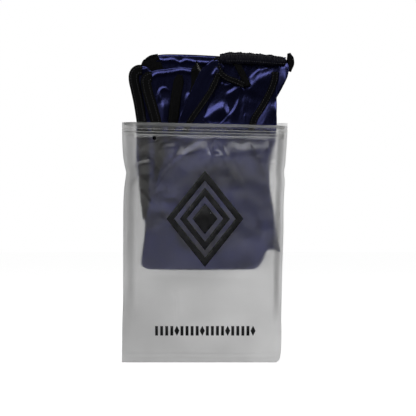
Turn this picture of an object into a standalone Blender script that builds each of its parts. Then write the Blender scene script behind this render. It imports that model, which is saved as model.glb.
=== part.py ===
"""A resealable frosted film pouch with a folded satin wrap standing part-way out of its mouth.

Frame: metres, +Z up. The origin is the middle of the pouch's bottom edge. -Y is the front of the
pouch and +X is to the right of someone who faces it. Outlines are written in millimetres as (x, z)
pairs, because every sheet of this object lies in a plane of constant y.
"""

import bmesh
import bpy
from mathutils import Matrix, Vector

MM = 0.001

# The pouch, laid flat.
POUCH_WIDTH = 0.174
POUCH_HEIGHT = 0.251
FILM = 0.0003
GAP = 0.0003
FLAT = GAP / 2 + FILM
SIDE_WELD = 0.0015
BOTTOM_SEAL = 0.008

# How far the wrap pushes the two films out from the seam plane, y = 0, and where.
FRONT_DEPTH = 0.016
BACK_DEPTH = 0.007
BULGE_LEFT = -0.0715
BULGE_RIGHT = 0.0775
BULGE_BOTTOM = 0.074

# The mouth: each film bends outwards along a crease below the zip.
CREASE = 0.2263
FRONT_RIM = 0.2485
ZIP_HEIGHT = 0.2415
ZIP_END = 0.080
ZIP_BASE = (0.009, 0.0005)
VENT = (-0.0504, 0.2330)
VENT_RADIUS = 0.0028
PUNCH_LENGTH = 10 * FILM
QUARTER_TURN = 1.5707963

# The wrap: layers of folded satin from the back film to the front film, as (front y, back y).
BACK_LAYER = (0.0006, 0.0040)
BACK_TRIM = (-0.0007, 0.0003)
MIDDLE_LAYER = (-0.0031, 0.0003)
MIDDLE_TRIM = (-0.0044, -0.0034)
FRONT_LAYER = (-0.0074, -0.0034)
SIDE_LAYER = (-0.0087, -0.0034)
STRAP_LAYER = (-0.0087, -0.0077)
CROWN_LAYER = (-0.0124, -0.0090)
CROWN_TRIM = (-0.0134, -0.0127)
LOOP_LAYER = (-0.0100, -0.0090)
CASING_LAYER = (-0.0134, -0.0090)
CASING_WALL = 0.0010
ELASTIC_INSET = 0.0016
BINDING_WIDTH = 0.0095
SEAM_WIDTH = 0.006
SOFT_EDGE = 0.3

FROSTED = ("frosted_film", (0.78, 0.78, 0.79), 0.55)
ZIP_PLASTIC = ("zip_plastic", (0.70, 0.70, 0.70), 0.40)
SATIN = ("navy_satin", (0.020, 0.022, 0.105), 0.30)
BINDING = ("black_binding", (0.012, 0.012, 0.012), 0.90)
ELASTIC = ("black_elastic", (0.020, 0.020, 0.020), 0.80)


def clear_scene():
    for obj in list(bpy.data.objects):
        bpy.data.objects.remove(obj)


def material(finish):
    name, colour, roughness = finish
    mat = bpy.data.materials.get(name) or bpy.data.materials.new(name)
    mat.use_nodes = True
    shader = mat.node_tree.nodes["Principled BSDF"]
    shader.inputs["Base Color"].default_value = (*colour, 1.0)
    shader.inputs["Roughness"].default_value = roughness
    return mat


def add_object(name, bm, finish):
    """Makes the bmesh a named object with its faces pointing out."""
    bmesh.ops.recalc_face_normals(bm, faces=bm.faces)
    mesh = bpy.data.meshes.new(name)
    bm.to_mesh(mesh)
    bm.free()
    mesh.materials.append(material(finish))
    obj = bpy.data.objects.new(name, mesh)
    bpy.context.scene.collection.objects.link(obj)
    return obj


def slab(name, outline, layer, finish, soft=SOFT_EDGE):
    """A closed plate with an outline in x and z, in millimetres, between the two y values of layer.

    soft is the radius of its rounded edges, as a share of its thickness.
    """
    front, back = layer
    bm = bmesh.new()
    corners = [bm.verts.new((x * MM, front, z * MM)) for x, z in outline]
    face = bm.faces.new(corners)
    swept = bmesh.ops.extrude_face_region(bm, geom=[face])
    moved = [v for v in swept["geom"] if isinstance(v, bmesh.types.BMVert)]
    bmesh.ops.translate(bm, verts=moved, vec=(0, back - front, 0))
    obj = add_object(name, bm, finish)
    if soft:
        bevel = obj.modifiers.new("soft_edges", "BEVEL")
        bevel.width = soft * (back - front)
        bevel.segments = 2
        bevel.angle_limit = 1.0
    obj.data.set_sharp_from_angle(angle=0.7)
    return obj


def ribbon(name, route, width, layer, finish):
    """A flat tape of constant width that follows a route of (x, z) points, in millimetres."""
    points = [Vector(p) for p in route]
    left, right = [], []
    for i, point in enumerate(points):
        along = points[min(i + 1, len(points) - 1)] - points[max(i - 1, 0)]
        across = Vector((along.y, -along.x)).normalized() * width / MM / 2
        left.append(tuple(point - across))
        right.append(tuple(point + across))
    return slab(name, left + right[::-1], layer, finish, soft=0.25)


def film_depth(x, depth):
    """How far a film's outer face stands out from the seam plane at x, across the wrap."""
    weld = POUCH_WIDTH / 2 - SIDE_WELD
    if x < BULGE_LEFT:
        share = (x + weld) / (BULGE_LEFT + weld)
    elif x > BULGE_RIGHT:
        share = (weld - x) / (weld - BULGE_RIGHT)
    else:
        share = 1.0
    return FLAT + (depth - FLAT) * max(share, 0.0)


def film(name, side, depth, levels):
    """A sheet of film, pressed out into a shallow tray. side is -1 at the front and 1 at the back.

    levels are (z, whether the film has its full depth there), from the bottom up.
    """
    edge = POUCH_WIDTH / 2
    xs = (-edge, SIDE_WELD - edge, BULGE_LEFT, BULGE_RIGHT, edge - SIDE_WELD, edge)
    bm = bmesh.new()
    rows = []
    for z, full in levels:
        outs = [film_depth(x, depth if full else FLAT) for x in xs]
        rows.append([bm.verts.new((x, side * out, z)) for x, out in zip(xs, outs)])
    for low, high in zip(rows, rows[1:]):
        for i in range(len(xs) - 1):
            bm.faces.new((low[i], low[i + 1], high[i + 1], high[i]))
    solid = bmesh.ops.solidify(bm, geom=bm.faces[:], thickness=0)["geom"]
    inner = {v for v in solid if isinstance(v, bmesh.types.BMVert)}
    bmesh.ops.translate(bm, verts=list(inner), vec=(0, -side * FILM, 0))
    return add_object(name, bm, FROSTED)


def zip_track(name, side, depth, profile):
    """A zip profile swept along the inner face of a lip, over the bulge and down both slopes.

    profile is a closed outline of (distance in from the film, height above the zip's middle).
    """
    bm = bmesh.new()
    ends = []
    for x in (-ZIP_END, BULGE_LEFT, BULGE_RIGHT, ZIP_END):
        face_y = side * (film_depth(x, depth) - FILM - GAP)
        ends.append([bm.verts.new((x, face_y - side * y, ZIP_HEIGHT + z)) for y, z in profile])
    for this, after in zip(ends, ends[1:]):
        for i in range(len(profile)):
            j = (i + 1) % len(profile)
            bm.faces.new((this[i], this[j], after[j], after[i]))
    bm.faces.new(ends[0])
    bm.faces.new(ends[-1])
    return add_object(name, bm, ZIP_PLASTIC)


def groove_profile():
    """A flat base with two jaws that hold the rib between them."""
    half, base = ZIP_BASE[0] / 2, ZIP_BASE[1]
    jaw, slot, reach = 0.0007, 0.0006, 0.0015
    return [
        (0, -half),
        (base, -half),
        (base, -slot - jaw),
        (reach, -slot - jaw),
        (reach, -slot),
        (base, -slot),
        (base, slot),
        (reach, slot),
        (reach, slot + jaw),
        (base, slot + jaw),
        (base, half),
        (0, half),
    ]


def rib_profile():
    """A flat base with one rib that has a wider head, like an arrow."""
    half, base = ZIP_BASE[0] / 2, ZIP_BASE[1]
    stem, head = 0.0002, 0.0004
    neck, shoulder, reach = 0.0009, 0.0011, 0.0015
    return [
        (0, -half),
        (base, -half),
        (base, -stem),
        (neck, -stem),
        (shoulder, -head),
        (reach, -stem),
        (reach, stem),
        (shoulder, head),
        (neck, stem),
        (base, stem),
        (base, half),
        (0, half),
    ]


def vent_cutter():
    """A wire-drawn cylinder that punches the air hole below the zip."""
    bm = bmesh.new()
    turned = Matrix.Rotation(QUARTER_TURN, 4, "X")
    placed = Matrix.Translation((VENT[0], -FRONT_DEPTH, VENT[1])) @ turned
    bmesh.ops.create_cone(
        bm,
        cap_ends=True,
        segments=32,
        radius1=VENT_RADIUS,
        radius2=VENT_RADIUS,
        depth=PUNCH_LENGTH,
        matrix=placed,
    )
    cutter = add_object("vent_cutter", bm, FROSTED)
    cutter.hide_render = True
    cutter.display_type = "WIRE"
    return cutter


def build_pouch():
    """The two films, which are welded along the sides and the bottom, the two lips and the zip."""
    body = [(0, False), (BOTTOM_SEAL, False), (BULGE_BOTTOM, True), (CREASE - GAP / 2, True)]
    film("front_film", -1, FRONT_DEPTH, body)
    film("back_film", 1, BACK_DEPTH, body)
    above_crease = (CREASE + GAP / 2, True)
    front_lip = film("front_lip_film", -1, FRONT_DEPTH, [above_crease, (FRONT_RIM, True)])
    punch = front_lip.modifiers.new("vent_hole", "BOOLEAN")
    punch.operation = "DIFFERENCE"
    punch.object = vent_cutter()
    film("back_lip_film", 1, BACK_DEPTH, [above_crease, (POUCH_HEIGHT, True)])
    zip_track("groove_track", -1, FRONT_DEPTH, groove_profile())
    zip_track("rib_track", 1, BACK_DEPTH, rib_profile())


def build_back_folds():
    """The two rear layers, each a satin panel folded over at the top, with bound left ends."""
    back = [(-66, 101), (-69, 250), (-64, 306), (-48, 321), (60, 320), (76, 262), (75, 239), (66, 101)]
    slab("back_panel", back, BACK_LAYER, SATIN)
    end = [(-64.5, 309.8), (-62, 315), (-48, 320.6), (-42, 309.8)]
    slab("back_panel_binding", end, BACK_TRIM, BINDING)
    middle = [
        (-65, 100), (-70.5, 206), (-69, 250), (-76, 304), (-71, 309.3), (58, 309.3),
        (76, 262), (74.5, 239), (70, 180), (74, 138), (80.7, 117), (64, 100),
    ]
    slab("middle_panel", middle, MIDDLE_LAYER, SATIN)
    route = [(-70.5, 303), (-67, 278), (-63.5, 250), (-61, 212)]
    ribbon("middle_panel_binding", route, BINDING_WIDTH, MIDDLE_TRIM, BINDING)


def build_front_folds():
    """The front left layer with its bound edge, and the two ties that lie on it."""
    front = [(-57, 101), (-53, 250), (-63.5, 299), (-60, 305), (-40, 308), (-3, 308), (-3, 101)]
    slab("front_panel", front, FRONT_LAYER, SATIN)
    bound = [(-58.5, 301), (-54, 278), (-48, 250), (-45.5, 225), (-44, 205)]
    ribbon("front_panel_binding", bound, BINDING_WIDTH, STRAP_LAYER, BINDING)
    tie = [(-25.5, 298), (-28.5, 285), (-30, 270), (-30.7, 250), (-30.5, 225), (-29, 200)]
    ribbon("tie_strap", tie, BINDING_WIDTH, STRAP_LAYER, BINDING)
    end = [(-14.5, 281), (-13, 300), (-8.6, 313.5), (-6, 313), (-2, 303), (-9.5, 283)]
    slab("tie_strap_end", end, STRAP_LAYER, BINDING)


def build_crown():
    """The crown: a front panel that runs down inside the pouch, a side panel and their bindings."""
    crown = [
        (-62, 99), (-65.5, 106), (-61, 145), (-55, 170), (-26, 250), (-6, 297), (2, 309), (12, 315),
        (21.5, 309), (20, 297), (-3, 258), (0, 252), (60, 240), (66, 215), (69, 180), (75, 138), (63, 99),
    ]
    slab("crown_panel", crown, CROWN_LAYER, SATIN)
    seam = [(16, 300), (4, 280), (-8, 262), (-14, 250), (-26, 222), (-40, 192)]
    ribbon("crown_seam_binding", seam, SEAM_WIDTH, CROWN_TRIM, BINDING)
    side = [
        (-2.4, 101), (-2.4, 305), (15, 319), (76.9, 313), (76.9, 276), (76.2, 250), (74.9, 239),
        (69.7, 180), (73.8, 138), (63, 101),
    ]
    slab("side_panel", side, SIDE_LAYER, SATIN)
    edge = [(72, 303), (68, 287), (60, 271), (53.5, 257)]
    ribbon("side_panel_binding", edge, SEAM_WIDTH, LOOP_LAYER, BINDING)
    loop = [(27, 305.5), (29.5, 298), (37, 293.5), (46, 291)]
    ribbon("binding_loop", loop, SEAM_WIDTH - GAP, LOOP_LAYER, BINDING)
    lobe = [(77.4, 311), (84, 314.5), (88.6, 306), (90, 301), (86, 290), (77.4, 277)]
    slab("corner_lobe", lobe, SIDE_LAYER, SATIN)
    tip = [(84.8, 316.2), (90.5, 321.7), (94.7, 317), (94.7, 309), (91.3, 302), (89.5, 307)]
    slab("lobe_binding", tip, SIDE_LAYER, BINDING)


def build_gathered_edge():
    """An open-ended casing along the top edge, with a flat elastic running through it."""
    casing = [(24, 311), (24, 322), (84, 318), (84, 308)]
    outer = slab("gathered_casing", casing, CASING_LAYER, BINDING, soft=0)
    hem = 1.2
    front, back = CASING_LAYER
    bore = [(23, 311 + hem), (23, 322 - hem), (85, 318 - hem), (85, 308 + hem)]
    tunnel_layer = (front + CASING_WALL, back - CASING_WALL)
    tunnel = slab("casing_cutter", bore, tunnel_layer, BINDING, soft=0)
    tunnel.hide_render = True
    tunnel.display_type = "WIRE"
    hollow = outer.modifiers.new("tunnel", "BOOLEAN")
    hollow.operation = "DIFFERENCE"
    hollow.object = tunnel
    band = [(24.5, 313.5), (24.5, 319.5), (83.5, 315.6), (83.5, 310.4)]
    slab("elastic_band", band, (front + ELASTIC_INSET, back - ELASTIC_INSET), ELASTIC)


clear_scene()
build_pouch()
build_back_folds()
build_front_folds()
build_crown()
build_gathered_edge()
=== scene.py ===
"""A frosted press-to-close pouch with a folded navy satin head wrap standing out of its mouth.

Distances inside a section are in millimetres, as (x, z) on the flat of a sheet, unless said.
"""

import bmesh
import bpy
import math
import numpy as np
from mathutils import Matrix, Vector, noise


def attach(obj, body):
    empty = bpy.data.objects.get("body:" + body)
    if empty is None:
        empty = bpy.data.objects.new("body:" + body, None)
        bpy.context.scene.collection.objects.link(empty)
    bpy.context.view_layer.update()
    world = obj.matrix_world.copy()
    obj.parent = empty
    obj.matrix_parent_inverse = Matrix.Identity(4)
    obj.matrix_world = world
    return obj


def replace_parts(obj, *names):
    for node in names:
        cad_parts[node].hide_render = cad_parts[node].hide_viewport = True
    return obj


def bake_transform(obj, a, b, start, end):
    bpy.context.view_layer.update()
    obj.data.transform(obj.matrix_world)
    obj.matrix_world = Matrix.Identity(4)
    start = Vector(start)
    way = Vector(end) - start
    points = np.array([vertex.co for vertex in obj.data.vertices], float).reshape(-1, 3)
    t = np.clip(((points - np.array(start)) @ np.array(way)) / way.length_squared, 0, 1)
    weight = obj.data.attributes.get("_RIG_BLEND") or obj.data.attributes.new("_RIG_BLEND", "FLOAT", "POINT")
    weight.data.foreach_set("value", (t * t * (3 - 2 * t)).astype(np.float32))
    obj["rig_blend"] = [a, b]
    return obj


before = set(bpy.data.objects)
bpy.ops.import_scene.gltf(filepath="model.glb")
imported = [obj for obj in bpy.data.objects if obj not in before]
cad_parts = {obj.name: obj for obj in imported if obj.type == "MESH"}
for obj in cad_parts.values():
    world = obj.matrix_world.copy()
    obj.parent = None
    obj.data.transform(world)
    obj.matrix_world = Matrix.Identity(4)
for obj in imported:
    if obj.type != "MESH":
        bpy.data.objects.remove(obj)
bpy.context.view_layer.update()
MM = 0.001

# ----------------------------------------
# The studio: a pale floor, a white surround and four broad soft lights, with the camera square to
# the pouch's front and far away, so that the pouch's sides stay parallel.
scene = bpy.context.scene
scene.view_settings.view_transform = "Standard"

VIEW_WIDTH = 0.4326
VIEW_MIDDLE = Vector((0.0052, 0.0, 0.1612))
DISTANCE = 2.4
FILM_FRONT = 0.012
ROOM_GLOSS = 0.010
ROOM_FILL = 0.40
SEEN_THROUGH = 0.95
FLOOR_DROP = 0.0006
lens = bpy.data.cameras.new("camera")
lens.sensor_width = 36
lens.lens = lens.sensor_width * (DISTANCE - FILM_FRONT) / VIEW_WIDTH
camera = bpy.data.objects.new("camera", lens)
camera.location = VIEW_MIDDLE + Vector((0, -DISTANCE, 0))
camera.rotation_euler = (math.pi / 2, 0, 0)
scene.collection.objects.link(camera)
scene.camera = camera


def node_tree(name):
    """A new material with an empty tree, as (material, tree)."""
    mat = bpy.data.materials.new(name)
    mat.use_nodes = True
    mat.node_tree.nodes.clear()
    return mat, mat.node_tree


def add(tree, kind, **inputs):
    """A node of that kind. An input is a value, or a socket that is linked to it."""
    node = tree.nodes.new("ShaderNode" + kind)
    for name, value in inputs.items():
        socket = node.inputs[name.replace("_", " ")]
        if isinstance(value, bpy.types.NodeSocket):
            tree.links.new(value, socket)
        else:
            socket.default_value = value
    return node


def math_of(tree, operation, *values):
    """A Math node's result, on values or sockets."""
    node = tree.nodes.new("ShaderNodeMath")
    node.operation = operation
    for socket, value in zip(node.inputs, values):
        if isinstance(value, bpy.types.NodeSocket):
            tree.links.new(value, socket)
        else:
            socket.default_value = value
    return node.outputs[0]


def ramp(tree, factor, stops):
    """A colour ramp through (position, colour) stops, as its colour output."""
    node = tree.nodes.new("ShaderNodeValToRGB")
    tree.links.new(factor, node.inputs[0])
    elements = node.color_ramp.elements
    while len(elements) < len(stops):
        elements.new(0.5)
    for element, (place, colour) in zip(elements, stops):
        element.position = place
        element.color = (*colour, 1)
    return node.outputs[0]


def finish(mat, **sockets):
    """Gives a material its shader, with values or links on these sockets, and returns it."""
    shader = add(mat.node_tree, "BsdfPrincipled", **sockets)
    out = mat.node_tree.nodes.new("ShaderNodeOutputMaterial")
    mat.node_tree.links.new(shader.outputs[0], out.inputs[0])
    return mat


def made(name, bm, mat):
    """The object that a finished bmesh makes, in the scene, with its material."""
    mesh = bpy.data.meshes.new(name)
    bm.to_mesh(mesh)
    bm.free()
    mesh.materials.append(mat)
    obj = bpy.data.objects.new(name, mesh)
    scene.collection.objects.link(obj)
    return obj


def grain_of(tree, place, scale, detail, **more):
    """A Noise texture's value at a place."""
    node = add(tree, "TexNoise", Vector=place, Scale=scale, Detail=detail, **more)
    return node.outputs["Fac"]


def bump(tree, strength, distance, height, **under):
    """A Bump node's normal, which may be laid on another's."""
    node = add(tree, "Bump", Strength=strength, Distance=distance, Height=height, **under)
    return node.outputs[0]


def build_surround():
    """White behind the object and through its film. Its gloss reflects a dark room instead."""
    world = bpy.data.worlds.new("surround")
    scene.world = world
    world.use_nodes = True
    tree = world.node_tree
    tree.nodes.clear()
    out = tree.nodes.new("ShaderNodeOutputWorld")
    way = add(tree, "SeparateXYZ", Vector=add(tree, "TexCoord").outputs["Generated"]).outputs
    behind = math_of(tree, "MAXIMUM", way[1], 0.0)
    ray = add(tree, "LightPath").outputs
    room = math_of(tree, "MULTIPLY_ADD", behind, 0.06, ROOM_GLOSS)
    room = math_of(tree, "MULTIPLY_ADD", ray["Is Diffuse Ray"], ROOM_FILL, room)
    turned = math_of(tree, "ADD", ray["Glossy Depth"], ray["Diffuse Depth"])
    straight = math_of(tree, "LESS_THAN", turned, 0.5)
    through = math_of(tree, "MULTIPLY", ray["Is Transmission Ray"], straight)
    room = math_of(tree, "MAXIMUM", room, math_of(tree, "MULTIPLY", through, SEEN_THROUGH))
    strength = math_of(tree, "MAXIMUM", room, ray["Is Camera Ray"])
    light = add(tree, "Background", Strength=strength, Color=(1, 1, 1, 1))
    tree.links.new(light.outputs[0], out.inputs[0])


def softbox(name, place, aim, size, power):
    """A rectangular light, aimed at a point, that fades towards its edges. Metres and watts."""
    light = bpy.data.lights.new(name, "AREA")
    light.shape = "RECTANGLE"
    light.size, light.size_y = size
    light.energy = power
    light.use_nodes = True
    tree = light.node_tree
    face = add(tree, "NewGeometry").outputs["Parametric"]
    fade = []
    for t in add(tree, "SeparateXYZ", Vector=face).outputs[:2]:
        rest = math_of(tree, "SUBTRACT", 4.0, math_of(tree, "MULTIPLY", t, 4.0))
        fade.append(math_of(tree, "MULTIPLY", t, rest))
    middle = math_of(tree, "POWER", math_of(tree, "MULTIPLY", *fade), 2.0)
    bright = math_of(tree, "MULTIPLY", middle, 3.5)
    tree.links.new(bright, tree.nodes["Emission"].inputs["Strength"])
    obj = bpy.data.objects.new(name, light)
    obj.location = place
    obj.rotation_euler = (Vector(aim) - Vector(place)).to_track_quat("-Z", "Y").to_euler()
    scene.collection.objects.link(obj)


def build_floor():
    """A white table top, which throws no light of its own back on to the object."""
    bm = bmesh.new()
    bmesh.ops.create_grid(bm, x_segments=1, y_segments=1, size=6)
    bmesh.ops.translate(bm, verts=bm.verts, vec=(0, 0, -FLOOR_DROP))
    mat = finish(node_tree("floor")[0], Base_Color=(0.4, 0.4, 0.4, 1), Roughness=0.6,
                 Specular_IOR_Level=0.0, Emission_Color=(1, 1, 1, 1), Emission_Strength=0.82)
    floor = made("floor", bm, mat)
    floor.visible_glossy = False
    floor.visible_diffuse = False


build_surround()
build_floor()
softbox("left_light", (-1.40, -1.56, 1.50), (0, 0, 0.25), (2.2, 2.2), 13)
softbox("right_light", (1.8, -1.0, 0.9), (0, 0, 0.25), (0.9, 1.8), 6)
softbox("top_light", (0.0, -1.5, 1.9), (0, 0, 0.25), (2.4, 0.9), 9)
softbox("back_light", (1.2, 1.9, 1.7), (0, 0, 0.2), (1.6, 1.6), 5)

# ----------------------------------------
# The front film: a sheet of frosted soft plastic, welded to the back film down both sides and
# along the bottom. It lies on the wrap and falls back to the seams round it. Above the crease it
# is the front lip, which can be pulled open while the side seams hold.
FILM = 0.22
SEAL = 8.0
VENT = (-50.4, 233.6)
VENT_RADIUS = 2.0
VENT_RING = 4.2
CREASE = 226.3
ZIP_MIDDLE = 243.0
FRONT_DEPTH = 15.8
HALF_WIDTH = 87
LEFT_SEAM = [(-84.7, 0), (-84.3, 40), (-83.5, 66), (-83.4, 128), (-83.2, 165), (-82.3, 182),
             (-80.6, 195), (-80.4, 199), (-82.2, 207), (-83.6, 217), (-84.3, 228), (-84.6, 251)]
RIGHT_SEAM = [(76.5, 0), (79.4, 2.5), (80.6, 6), (81.6, 16), (82, 32), (81.7, 45), (82.1, 66),
              (82.8, 100), (84, 135), (84.1, 157), (84.6, 174), (85.4, 188), (84.7, 199), (86, 208),
              (87, 222), (88, 238), (88.2, 248)]


def smooth_path(points, count):
    """A Catmull-Rom curve through the points, as count points at even steps of length."""
    p = np.array(points, float)
    if len(p) > 2:
        ends = np.vstack([2 * p[0] - p[1], p, 2 * p[-1] - p[-2]])
        t = np.linspace(0, 1, 24, endpoint=False)[:, None]
        runs = [
            0.5 * (2 * b + (c - a) * t + (2 * a - 5 * b + 4 * c - d) * t**2
                   + (3 * b - a - 3 * c + d) * t**3)
            for a, b, c, d in zip(ends, ends[1:], ends[2:], ends[3:])
        ]
        p = np.vstack([*runs, p[-1:]])
    length = np.concatenate([[0], np.cumsum(np.linalg.norm(np.diff(p, axis=0), axis=1))])
    even = np.linspace(0, length[-1], count)
    return np.stack([np.interp(even, length, p[:, i]) for i in range(p.shape[1])], axis=1)


def ease(t):
    """0 to 1 as t goes from 0 to 1, with a soft start and end."""
    t = np.clip(t, 0, 1)
    return t * t * (3 - 2 * t)


def crease(x, z, route, height, left, right, ends=(0.2, 0.2)):
    """How high a crease along a route stands at the points x, z.

    left and right are its widths on the two sides of the route, seen along it, and ends are the
    shares of its length over which it grows and fades.
    """
    path = smooth_path(route, 28)
    near = np.full(x.shape, 1e9)
    along = np.zeros(x.shape)
    side = np.zeros(x.shape)
    for i, (a, b) in enumerate(zip(path, path[1:])):
        run = b - a
        t = np.clip(((x - a[0]) * run[0] + (z - a[1]) * run[1]) / (run @ run), 0, 1)
        dx, dz = x - a[0] - t * run[0], z - a[1] - t * run[1]
        gap = np.hypot(dx, dz)
        closer = gap < near
        near = np.where(closer, gap, near)
        along = np.where(closer, (i + t) / (len(path) - 1), along)
        side = np.where(closer, run[0] * dz - run[1] * dx, side)
    width = np.where(side > 0, left, right)
    grown = ease(along / max(ends[0], 1e-3)) * ease((1 - along) / max(ends[1], 1e-3))
    return height * grown * np.exp(-((near / width) ** 2))


def lit(x, z, route, width, rise=0.5, ends=(0.2, 0.2), back=2.5):
    """A fold whose upper left flank, the one that faces the light, lies along the route.

    The route runs upwards or to the right, width is that flank's, and back the other's to it.
    """
    shifted = [(a + 0.5 * width, b - 0.5 * width) for a, b in route]
    return crease(x, z, shifted, rise * width, width, back * width, ends)


def lit_all(x, z, *folds):
    """Such folds together, each as (route, width, rise, ends, back)."""
    return sum(lit(x, z, *fold) for fold in folds)


def swell(x, z, centre, size, height):
    """A soft round rise. size is its (x, z) half widths."""
    return height * np.exp(-(((x - centre[0]) / size[0]) ** 2) - ((z - centre[1]) / size[1]) ** 2)


def rumple(x, z, size, height, seed):
    """Small soft unevenness: noise with features about size wide."""
    out = np.empty(x.shape)
    for i in np.ndindex(x.shape):
        out[i] = noise.noise((x[i] / size, z[i] / size, seed))
    return height * out


def streaks(x, z, angle, run, gap, height, seed):
    """Fine slack lines in satin, at an angle from the horizontal: run long and gap apart."""
    c, s = math.cos(math.radians(angle)), math.sin(math.radians(angle))
    return rumple((x * c + z * s) * gap / run, z * c - x * s, gap, height, seed)


def grid_object(name, points, mat, closed=False):
    """An object from rows of points in millimetres, with a UV map in metres along the cloth."""
    rows, cols = points.shape[:2]
    bm = bmesh.new()
    bmesh.ops.create_grid(bm, x_segments=cols - 1, y_segments=rows - 1, size=1)
    step = [np.linalg.norm(np.diff(points, axis=k), axis=2).mean(axis=1 - k) for k in (0, 1)]
    down, across = (np.concatenate([[0], np.cumsum(s)]) * MM for s in step)
    uv = bm.loops.layers.uv.new("cloth")
    place = {}
    for v in bm.verts:
        i = round((v.co.x + 1) / 2 * (cols - 1))
        j = round((v.co.y + 1) / 2 * (rows - 1))
        place[v] = (across[i], down[j])
        v.co = Vector(points[j, i]) * MM
    for face in bm.faces:
        face.smooth = True
        for loop in face.loops:
            loop[uv].uv = place[loop.vert]
    if closed:
        bmesh.ops.remove_doubles(bm, verts=bm.verts, dist=1e-6)
    return made(name, bm, mat)


def thicken(obj, thickness, offset=-1):
    """Gives a sheet its thickness, in millimetres, with a Solidify modifier."""
    wall = obj.modifiers.new("thickness", "SOLIDIFY")
    wall.thickness = thickness * MM
    wall.offset = offset
    wall.use_even_offset = False
    return obj


def frosted(name, haze, clear, roughness, gloss):
    """Frosted soft plastic. haze is its own colour, and clear how much light goes through.

    To the right its colour is painted paler, as painted light from that side, and it is smooth where the zip
    was pressed on.
    """
    mat, tree = node_tree(name)
    solid = add(tree, "TexCoord").outputs["Object"]
    cloud = grain_of(tree, solid, 14.0, 3.0)
    x, y, z = add(tree, "SeparateXYZ", Vector=solid).outputs
    # painted light: the colour grows paler towards +x, as if lit more from the right, over a random cloudy
    # tone
    cloud_and_painted_light = math_of(tree, "MULTIPLY_ADD", x, 1.6, cloud)
    tint = ramp(tree, cloud_and_painted_light, [(at, tuple(c * share for c in haze))
                             for at, share in ((0.25, 0.88), (0.75, 1.10))])
    grain = grain_of(tree, solid, 1400.0, 2.0)
    fine = bump(tree, 0.05, 0.0002, grain)
    sag = grain_of(tree, solid, 45.0, 2.0, Roughness=0.4)
    soft = bump(tree, 0.12, 0.002, sag, Normal=fine)
    rough = math_of(tree, "MULTIPLY_ADD", cloud, 0.06, roughness)
    from_zip = math_of(tree, "ABSOLUTE", math_of(tree, "SUBTRACT", z, ZIP_MIDDLE * MM))
    pressed = math_of(tree, "MAXIMUM", math_of(tree, "MULTIPLY_ADD", from_zip, -200.0, 1.0), 0.0)
    rough = math_of(tree, "MULTIPLY", rough, math_of(tree, "MULTIPLY_ADD", pressed, -0.6, 1.0))
    return finish(mat, Base_Color=tint, Roughness=rough, Normal=soft, IOR=1.25,
                  Transmission_Weight=clear, Coat_Weight=gloss, Coat_Roughness=0.24)


film_mat = frosted("frosted_film", (0.72, 0.72, 0.72), 0.975, 0.38, 0.95)


def seam_at(seam, z):
    """How far out a side seam lies at height z."""
    path = smooth_path(seam, 200)
    return np.interp(z, path[:, 1], path[:, 0])


def drape(x, z, side, depth):
    """y of a film at the points x, z: out over the wrap, and back to the seams round it."""
    left, right = seam_at(LEFT_SEAM, z), seam_at(RIGHT_SEAM, z)
    inward = np.minimum(ease((x - left - 1.5) / 13), ease((right - 1.5 - x) / 9.5))
    upward = ease((z - SEAL) / 72)
    return side * (0.3 + (depth - 0.3) * inward * (0.25 * upward + 0.75 * upward**2))


def front_wrinkles(x, z):
    """Slack under the zip, creases that run in from the pinched sides, and the bottom seal."""
    out = lit_all(
        x, z,
        ([(-50, 219), (-40, 225), (-26, 225)], 4.0, 0.55, (0.4, 0.3), 1.8),
        ([(-32, 216), (-10, 224), (7, 223)], 10.0, 0.50, (0.3, 0.12), 1.5),
        ([(-38, 212), (-27, 217), (-17, 217)], 3.5, 0.5, (0.3, 0.4), 2),
        ([(17, 215), (31, 222), (52, 223), (76, 220)], 12.0, 0.50, (0.12, 0.3), 1.5),
        ([(-79, 235.5), (0, 234.5), (83, 233)], 3.2, 0.42, (0.06, 0.06), 9),
        ([(-50, 178), (-40, 198.6), (-28, 210), (-13.5, 221)], 2.2, 0.28),
        ([(46, 211), (60, 214), (72, 212)], 4.0, 0.45, (0.3, 0.4), 2),
        ([(-8, 209), (6, 216.5), (17, 215.5), (27, 208)], 5.0, 0.55, (0.25, 0.25), 1.7),
    )
    out -= swell(x, z, (14, 223), (6, 5), 1.6)
    out += lit_all(
        x, z,
        ([(-80, 196), (-68, 207), (-50, 210)], 3.6, 0.5, (0.3, 0.3)),
        ([(-79, 178), (-72, 190), (-58, 194)], 2.4, 0.4, (0.3, 0.3)),
        ([(-70, 182), (-62, 176), (-54, 164)], 2.0, 0.5, (0.3, 0.3)),
        ([(36, 209), (42, 214.5), (54, 215)], 1.6, 0.7, (0.2, 0.3)),
        ([(52, 205), (62, 209), (80, 208)], 2.4, 0.5, (0.3, 0.2)),
        ([(46, 232), (58, 205), (66, 190)], 1.3, 0.5, (0.2, 0.3)),
        ([(0, 190), (14, 196), (30, 193)], 5.0, 0.25, (0.3, 0.3)),
        ([(-10, 150), (10, 160), (34, 172)], 6.0, 0.22, (0.3, 0.3)),
    )
    out += crease(x, z, [(-62, 92), (-20, 90), (40, 89), (66, 94)], -1.0, 6, 5)
    out += crease(x, z, [(-83, 8.6), (0, 8.2), (79, 8.6)], 0.4, 0.9, 0.9, (0.02, 0.02))
    out += crease(x, z, [(-29, 42), (-28, 60), (-31, 78)], 0.6, 1.4, 3)
    ring = np.hypot(x - VENT[0], z - VENT[1])
    out += 0.2 * np.exp(-(((ring - VENT_RING) / 1.1) ** 2))
    inside = np.minimum(x - seam_at(LEFT_SEAM, z), seam_at(RIGHT_SEAM, z) - x)
    slack = rumple(x, z, 30, 1.4, 9.2) + rumple(x, z, 15, 1.2, 3.1) * ease((z - 90) / 60)
    return (out + slack * ease((z - 10) / 20)) * ease((inside - 0.5) / 9)


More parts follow.
